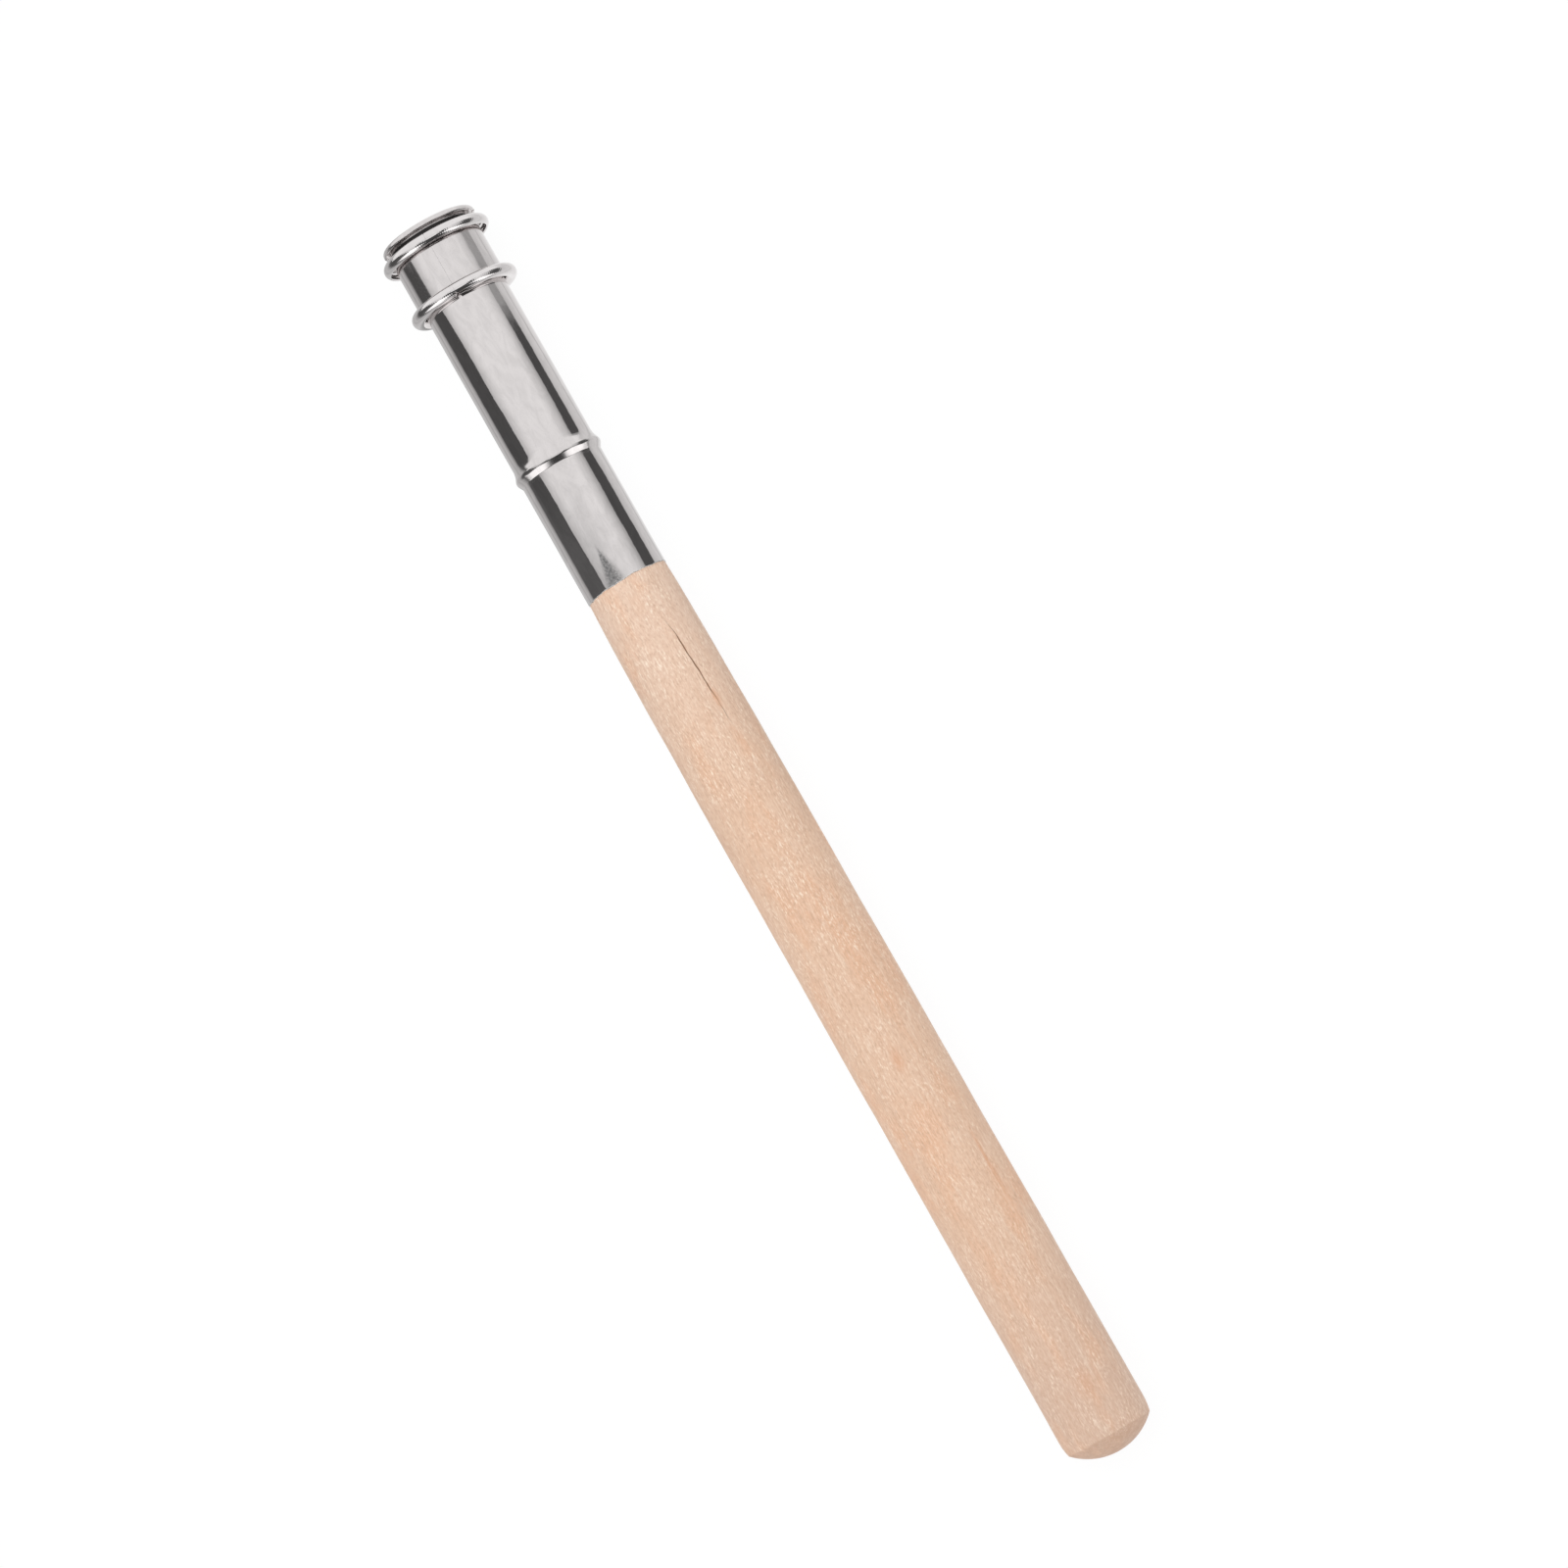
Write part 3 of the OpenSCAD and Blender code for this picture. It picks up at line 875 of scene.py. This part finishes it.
class PENCILEXT_OT_handle(Operator):
    """The turned wooden handle with its tenon"""
    bl_idname = "pencilext.handle"
    bl_label = "Handle"

    def execute(self, context):
        sizes = context.scene.pencilext_handle
        ferrule = context.scene.pencilext_ferrule
        profile, tenon_rows, dome_rows = handle_profile(sizes)
        coarse = np.arange(-180, 180, COLUMN_STEP)
        fine = np.arange(*CRACK_COLUMNS, CRACK_STEP)
        before = coarse[coarse < CRACK_COLUMNS[0] - CRACK_STEP]
        after = coarse[coarse > CRACK_COLUMNS[1]]
        turn = radians(1) * np.concatenate([before, fine, after])
        radius = profile[1:-1, :1]
        distance = profile[1:-1, 1:]
        mark = crack(distance, turn)
        outside = distance > FERRULE_END - SWELL_OVERLAP
        radius = (radius + sizes.uneven * waves(SWELLINGS, turn, distance) * outside
                  - sizes.crack_depth * mark - ferrule.dent_depth * dent(distance, turn)[0])
        points = place(distance + end_shift(distance, turn, ferrule.skew), radius, turn)
        # A fan of triangles round one point closes each end.
        rows, columns = points.shape[:2]
        tips = place(profile[[0, -1], 1], 0, 0)
        points = np.concatenate([points.reshape(-1, 3), tips])
        column = np.arange(columns)
        next_column = (column + 1) % columns
        last = (rows - 1) * columns
        tip = np.full(columns, rows * columns)
        front = np.stack([tip, next_column, column], 1)
        end = np.stack([last + column, last + next_column, tip + 1], 1)
        faces = ring_of_quads(rows, columns, False, True)
        marks = {"crack": np.append(np.clip(mark * CRACK_SHADE_STRENGTH, 0, 1), [0, 0]),
                 "stain": np.append(stained(distance, turn), [0, 0])}
        shoulder = tenon_rows - 2
        crease = rows - dome_rows
        piece = new_piece("handle_wood", points, bare_wood("bare_wood", sizes),
                          [faces, front, end], marks=marks, columns=columns,
                          sharp_rows=(shoulder, shoulder + 1, crease))
        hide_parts("handle")
        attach(piece, "grip")
        return {"FINISHED"}


WHITE = (1, 1, 1)
# The table's half width, its grid lines, its glow, which is white to the camera, the
# share of that glow, and how far from the handle's tip the wood touches it
TABLE_REACH = 3.0
TABLE_LINES = 9
TABLE_GLOW = 1.02
TABLE_GLOW_SHARE = 0.92
TOUCH_FROM_TIP = 3.2 * MM
LAMP_SIZE = 0.45
LAMP_PLACE = (0.12, 0.13, 0.72)
# Cards on spheres: name, azimuths, elevations, radius, centre, and the radiance at the
# edges and how much it rises from them
HEAD = (0.045, 0, AXIS_Z)
PATCH_LINES = 41
PATCH_EDGES = (0.3, 0.12, 0.3)
DOME_CARDS = [("bright_left", (14, 70), (-4, 50), 0.5, HEAD, 0.1, 1.35),
              ("bright_right", (-20, -66), (-4, 50), 0.5, HEAD, 0.1, 1.35),
              ("dark_back", (-93, 93), (-3, 68), 0.8, (0, 0, 0), 0.06, 0)]
# Strips on the table beside the head, with their side and radiance, and their reach
FLOOR_CARDS = [("left_floor", 1, 0.3), ("right_floor", -1, 0.2)]
FLOOR_ALONG = (0, 26 * MM, 5)
FLOOR_ASIDE = (7 * MM, 40 * MM, 5)
FLOOR_LIFT = 0.4 * MM
# A veil above the part: its reach, its height, how much darker than the room it is,
# where it fades out towards the mouth, and how it fades from side to side
VEIL_ALONG = (0, 0.15, 16)
VEIL_ASIDE = (-0.3, 0.3, 31)
VEIL_HEIGHT = 0.5
VEIL_DARKNESS = 0.2
VEIL_FADE = (0.09, 0.14)
VEIL_MIDDLE = 0.7
VEIL_SLOPE = 2
VEIL_LEAST = 0.2
# The dark cards beside the metal head, as seen in the strips that it reflects. A point
# of the plan gives a place along the part, a reach and a height, all in millimetres,
# and a weight. A point of the section gives a share of the reach, a share of the
# height and a radiance.
CARD_LIFT = 0.3
LEFT_PLAN = [(77, 60, 20, 0), (73, 60, 23, 1), (60, 60, 31, 1), (45, 60, 40.6, 1),
             (39, 60, 43.2, 0.965), (25, 60, 53, 0.965)]
# The first rows of the left section lie on the table beside the part and are dim: a painted shadow
# of the part on the table, as the metal reflects it.
LEFT_SECTION = [(0.063, 0, 0.3), (0.08, 0, 0.45), (0.1, 0, 0.66), (0.15, 0, 0.6),
                (0.17, 0, 0.45), (0.19, 0, 0.62), (0.25, 0, 0.52), (0.33, 0, 0.3),
                (0.37, 0, 0.09), (1, 0, 0.09), (1, 0.9, 0.09), (1, 0.97, 0.07), (1, 1, 0.08),
                (1, 1.03, 0.62), (1, 1.5, 0.8), (1, 2.1, 0.92), (1, 3, 1)]
RIGHT_PLAN = [(84, 85, 35, 0), (79, 85, 34, 0.62), (70, 85, 35, 0.65), (65, 80, 33, 1),
              (50, 62, 29, 1), (39, 45, 24.5, 1), (25, 42, 24.4, 1)]
RIGHT_SECTION = [(0.08, 0, 0.97), (0.17, 0, 0.86), (0.19, 0, 0.6), (0.21, 0, 0.82),
                 (0.4, 0, 0.75), (0.84, 0, 0.6), (0.9, 0, 0.12), (1, 0, 0.09), (1, 1, 0.09),
                 (1, 1.04, 0.45), (1, 1.5, 0.7), (1, 2.2, 0.86), (1, 3.2, 1)]


def seen_as_background(make):
    """One for a ray from the camera, off metal or through glass, and zero for the rest."""
    path = make.add("ShaderNodeLightPath")
    seen = make.math("ADD", path.outputs["Is Camera Ray"], path.outputs["Is Glossy Ray"],
                     clamp=True)
    return make.math("ADD", seen, path.outputs["Is Transmission Ray"], clamp=True)


def reflector(name, points, radiance, material):
    """A graded card that only shows in the metal's reflections."""
    rows, columns = points.shape[:2]
    faces = ring_of_quads(rows, columns, False, False)
    radiance = np.broadcast_to(radiance, (rows, columns))
    card = new_piece(name, points, material, [faces], marks={"radiance": radiance})
    for rays in ("camera", "diffuse", "shadow", "transmission"):
        setattr(card, "visible_" + rays, False)


def dome_patch(azimuths, elevations, radius, centre):
    """A patch of a sphere: its azimuths run from -X towards +Y, its elevations up."""
    share = np.linspace(0, 1, PATCH_LINES)
    azimuth = np.radians(azimuths[0] + (azimuths[1] - azimuths[0]) * share)[:, None]
    elevation = np.radians(elevations[0] + (elevations[1] - elevations[0]) * share)[None, :]
    flat = np.cos(elevation)
    return centre + radius * np.stack([-np.cos(azimuth) * flat, np.sin(azimuth) * flat,
                                       np.sin(elevation) + 0 * azimuth], -1)


def soft_edges(inner, outer, top):
    """The glow of a dome patch, from zero to one: it rises from its first azimuth over the
    inner share, falls again over the outer share, and fades over the top share."""
    share = np.linspace(0, 1, PATCH_LINES)
    aside = rise(share, 0, inner) * (1 - rise(share, 1 - outer, 1))
    return aside[:, None] * (1 - rise(share, 1 - top, 1))[None, :]


def grid(first, second):
    """Two arrays of coordinates, each evenly spaced from a start to an end in a count."""
    return np.meshgrid(np.linspace(*first), np.linspace(*second), indexing="ij")


def table_height(x):
    """Height of the table, which touches the ring's rolled edges and the wooden end."""
    drop = (WOOD_LOW.z - RING_LOW.z) / (RING_LOW.x - (WOOD_LOW.x + TOUCH_FROM_TIP))
    return RING_LOW.z + (RING_LOW.x - x) * drop


def standing_card(plan, section, side):
    """A dark card that lies on the table near the part, bends up and fades out at its
    top: its points are the plan's reach and height times the section's shares."""
    plan = np.array(plan)[:, None, :]
    section = np.array(section)[None, :, :]
    x = plan[..., 0] + 0 * section[..., 0]
    y = side * plan[..., 1] * section[..., 0]
    z = plan[..., 2] * section[..., 1] + table_height(x * MM) / MM + CARD_LIFT
    return np.stack([x, y, z], -1) * MM, 1 - (1 - section[..., 2]) * plan[..., 3]


class PENCILEXT_OT_stage(Operator):
    """Table, lamp, reflecting cards and camera"""
    bl_idname = "pencilext.stage"
    bl_label = "Stage"

    def execute(self, context):
        sizes = context.scene.pencilext_stage
        self.lay_table(sizes)
        self.stand_cards()
        self.light(context, sizes)
        self.aim_camera(context, sizes)
        return {"FINISHED"}

    def lay_table(self, sizes):
        """A wide plane, white to the camera and in the metal, that takes the shadow."""
        make = Finish(bpy.data.materials.new("pale_table"))
        matt = make.add("ShaderNodeBsdfDiffuse", {"Color": sizes.floor})
        glow = make.add("ShaderNodeEmission", {"Color": WHITE, "Strength": TABLE_GLOW})
        share = make.times(seen_as_background(make), TABLE_GLOW_SHARE)
        mixed = make.add("ShaderNodeMixShader", {0: share, 1: matt.outputs[0],
                                                 2: glow.outputs[0]})
        lines = (-TABLE_REACH, TABLE_REACH, TABLE_LINES)
        x, y = grid(lines, lines)
        points = np.stack([x, y, table_height(x)], -1)
        faces = ring_of_quads(TABLE_LINES, TABLE_LINES, False, False)
        new_piece("table", points, make.shown(mixed), [faces[:, ::-1]])

    def stand_cards(self):
        """Dark cards beside and above the part, and two bright ones behind the ring."""
        make = Finish(bpy.data.materials.new("graded_card"))
        emitter = {"Color": WHITE, "Strength": make.mark("radiance")}
        glow = make.shown(make.add("ShaderNodeEmission", emitter))
        reflector("left_card", *standing_card(LEFT_PLAN, LEFT_SECTION, 1), glow)
        reflector("right_card", *standing_card(RIGHT_PLAN, RIGHT_SECTION, -1), glow)
        for name, azimuths, elevations, radius, centre, least, more in DOME_CARDS:
            points = dome_patch(azimuths, elevations, radius, np.array(centre))
            reflector(name, points, least + more * soft_edges(*PATCH_EDGES), glow)
        for name, side, radiance in FLOOR_CARDS:
            x, y = grid(FLOOR_ALONG, FLOOR_ASIDE)
            points = np.stack([x, side * y, table_height(x) + FLOOR_LIFT], -1)
            reflector(name, points, radiance, glow)
        x, y = grid(VEIL_ALONG, VEIL_ASIDE)
        aside = np.clip(VEIL_MIDDLE + VEIL_SLOPE * y, VEIL_LEAST, 1)
        veil = VEIL_DARKNESS * (1 - rise(x, *VEIL_FADE)) * aside
        reflector("veil", np.stack([x, y, 0 * x + VEIL_HEIGHT], -1), 1 - veil, glow)

    def light(self, context, sizes):
        """Even light from all round and one soft lamp overhead."""
        make = Finish(bpy.data.worlds.new("white_room"))
        strength = make.band(seen_as_background(make), 0.0, 1.0, sizes.fill, 1.0)
        sky = make.add("ShaderNodeBackground", {"Color": WHITE, "Strength": strength})
        context.scene.world = make.shown(sky, "ShaderNodeOutputWorld")
        lamp = bpy.data.lights.new("overhead", "AREA")
        lamp.shape = "DISK"
        lamp.size = LAMP_SIZE
        lamp.energy = sizes.key
        key = bpy.data.objects.new("overhead", lamp)
        key.location = LAMP_PLACE
        aim = Vector((0, 0, AXIS_Z)) - key.location
        key.rotation_euler = aim.to_track_quat("-Z", "Y").to_euler()
        key.visible_glossy = False
        context.collection.objects.link(key)

    def aim_camera(self, context, sizes):
        """A long lens above the part, leaning to the wooden end and rolled so that the
        part lies aslant in the frame."""
        back = Vector((-sin(sizes.tilt), 0, cos(sizes.tilt)))
        forward = Vector((1, 0, 0)) - back.x * back
        forward.normalize()
        aside = back.cross(forward)
        right = -sin(sizes.roll) * forward - cos(sizes.roll) * aside
        up = cos(sizes.roll) * forward - sin(sizes.roll) * aside
        lens = bpy.data.cameras.new("camera")
        lens.lens = sizes.lens
        lens.sensor_width = sizes.sensor
        lens.clip_start = 0.01
        lens.clip_end = 20
        camera = bpy.data.objects.new("camera", lens)
        matrix = Matrix((right, up, back)).transposed().to_4x4()
        matrix.translation = Vector(sizes.aim) + back * sizes.distance
        camera.matrix_world = matrix
        context.collection.objects.link(camera)
        context.scene.camera = camera
        context.scene.view_settings.view_transform = "Standard"


class PENCILEXT_PT_panel(Panel):
    """Lists the pieces and their sizes"""
    bl_idname = "PENCILEXT_PT_panel"
    bl_label = "Pencil extender"
    bl_space_type = "VIEW_3D"
    bl_region_type = "UI"
    bl_category = "Pencil extender"

    def draw(self, context):
        for operator, group in BUILD:
            self.layout.operator(operator.bl_idname)
            settings = getattr(context.scene, group)
            for key in settings.__annotations__:
                self.layout.prop(settings, key)


GROUPS = {
    "pencilext_handle": PENCILEXT_PG_handle,
    "pencilext_ferrule": PENCILEXT_PG_ferrule,
    "pencilext_ring": PENCILEXT_PG_ring,
    "pencilext_stage": PENCILEXT_PG_stage,
}
BUILD = [
    (PENCILEXT_OT_handle, "pencilext_handle"),
    (PENCILEXT_OT_ferrule, "pencilext_ferrule"),
    (PENCILEXT_OT_jaws, "pencilext_ferrule"),
    (PENCILEXT_OT_ring, "pencilext_ring"),
    (PENCILEXT_OT_stage, "pencilext_stage"),
]
CLASSES = [*GROUPS.values(), *(operator for operator, _ in BUILD), PENCILEXT_PT_panel]


def register():
    for each in CLASSES:
        bpy.utils.register_class(each)
    for name, group in GROUPS.items():
        setattr(bpy.types.Scene, name, PointerProperty(type=group))


def unregister():
    for name in GROUPS:
        delattr(bpy.types.Scene, name)
    for each in reversed(CLASSES):
        bpy.utils.unregister_class(each)


def main():
    """Registers the add-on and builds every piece."""
    register()
    for operator, _ in BUILD:
        getattr(bpy.ops.pencilext, operator.bl_idname.split(".")[1])()


if __name__ == "__main__":
    main()
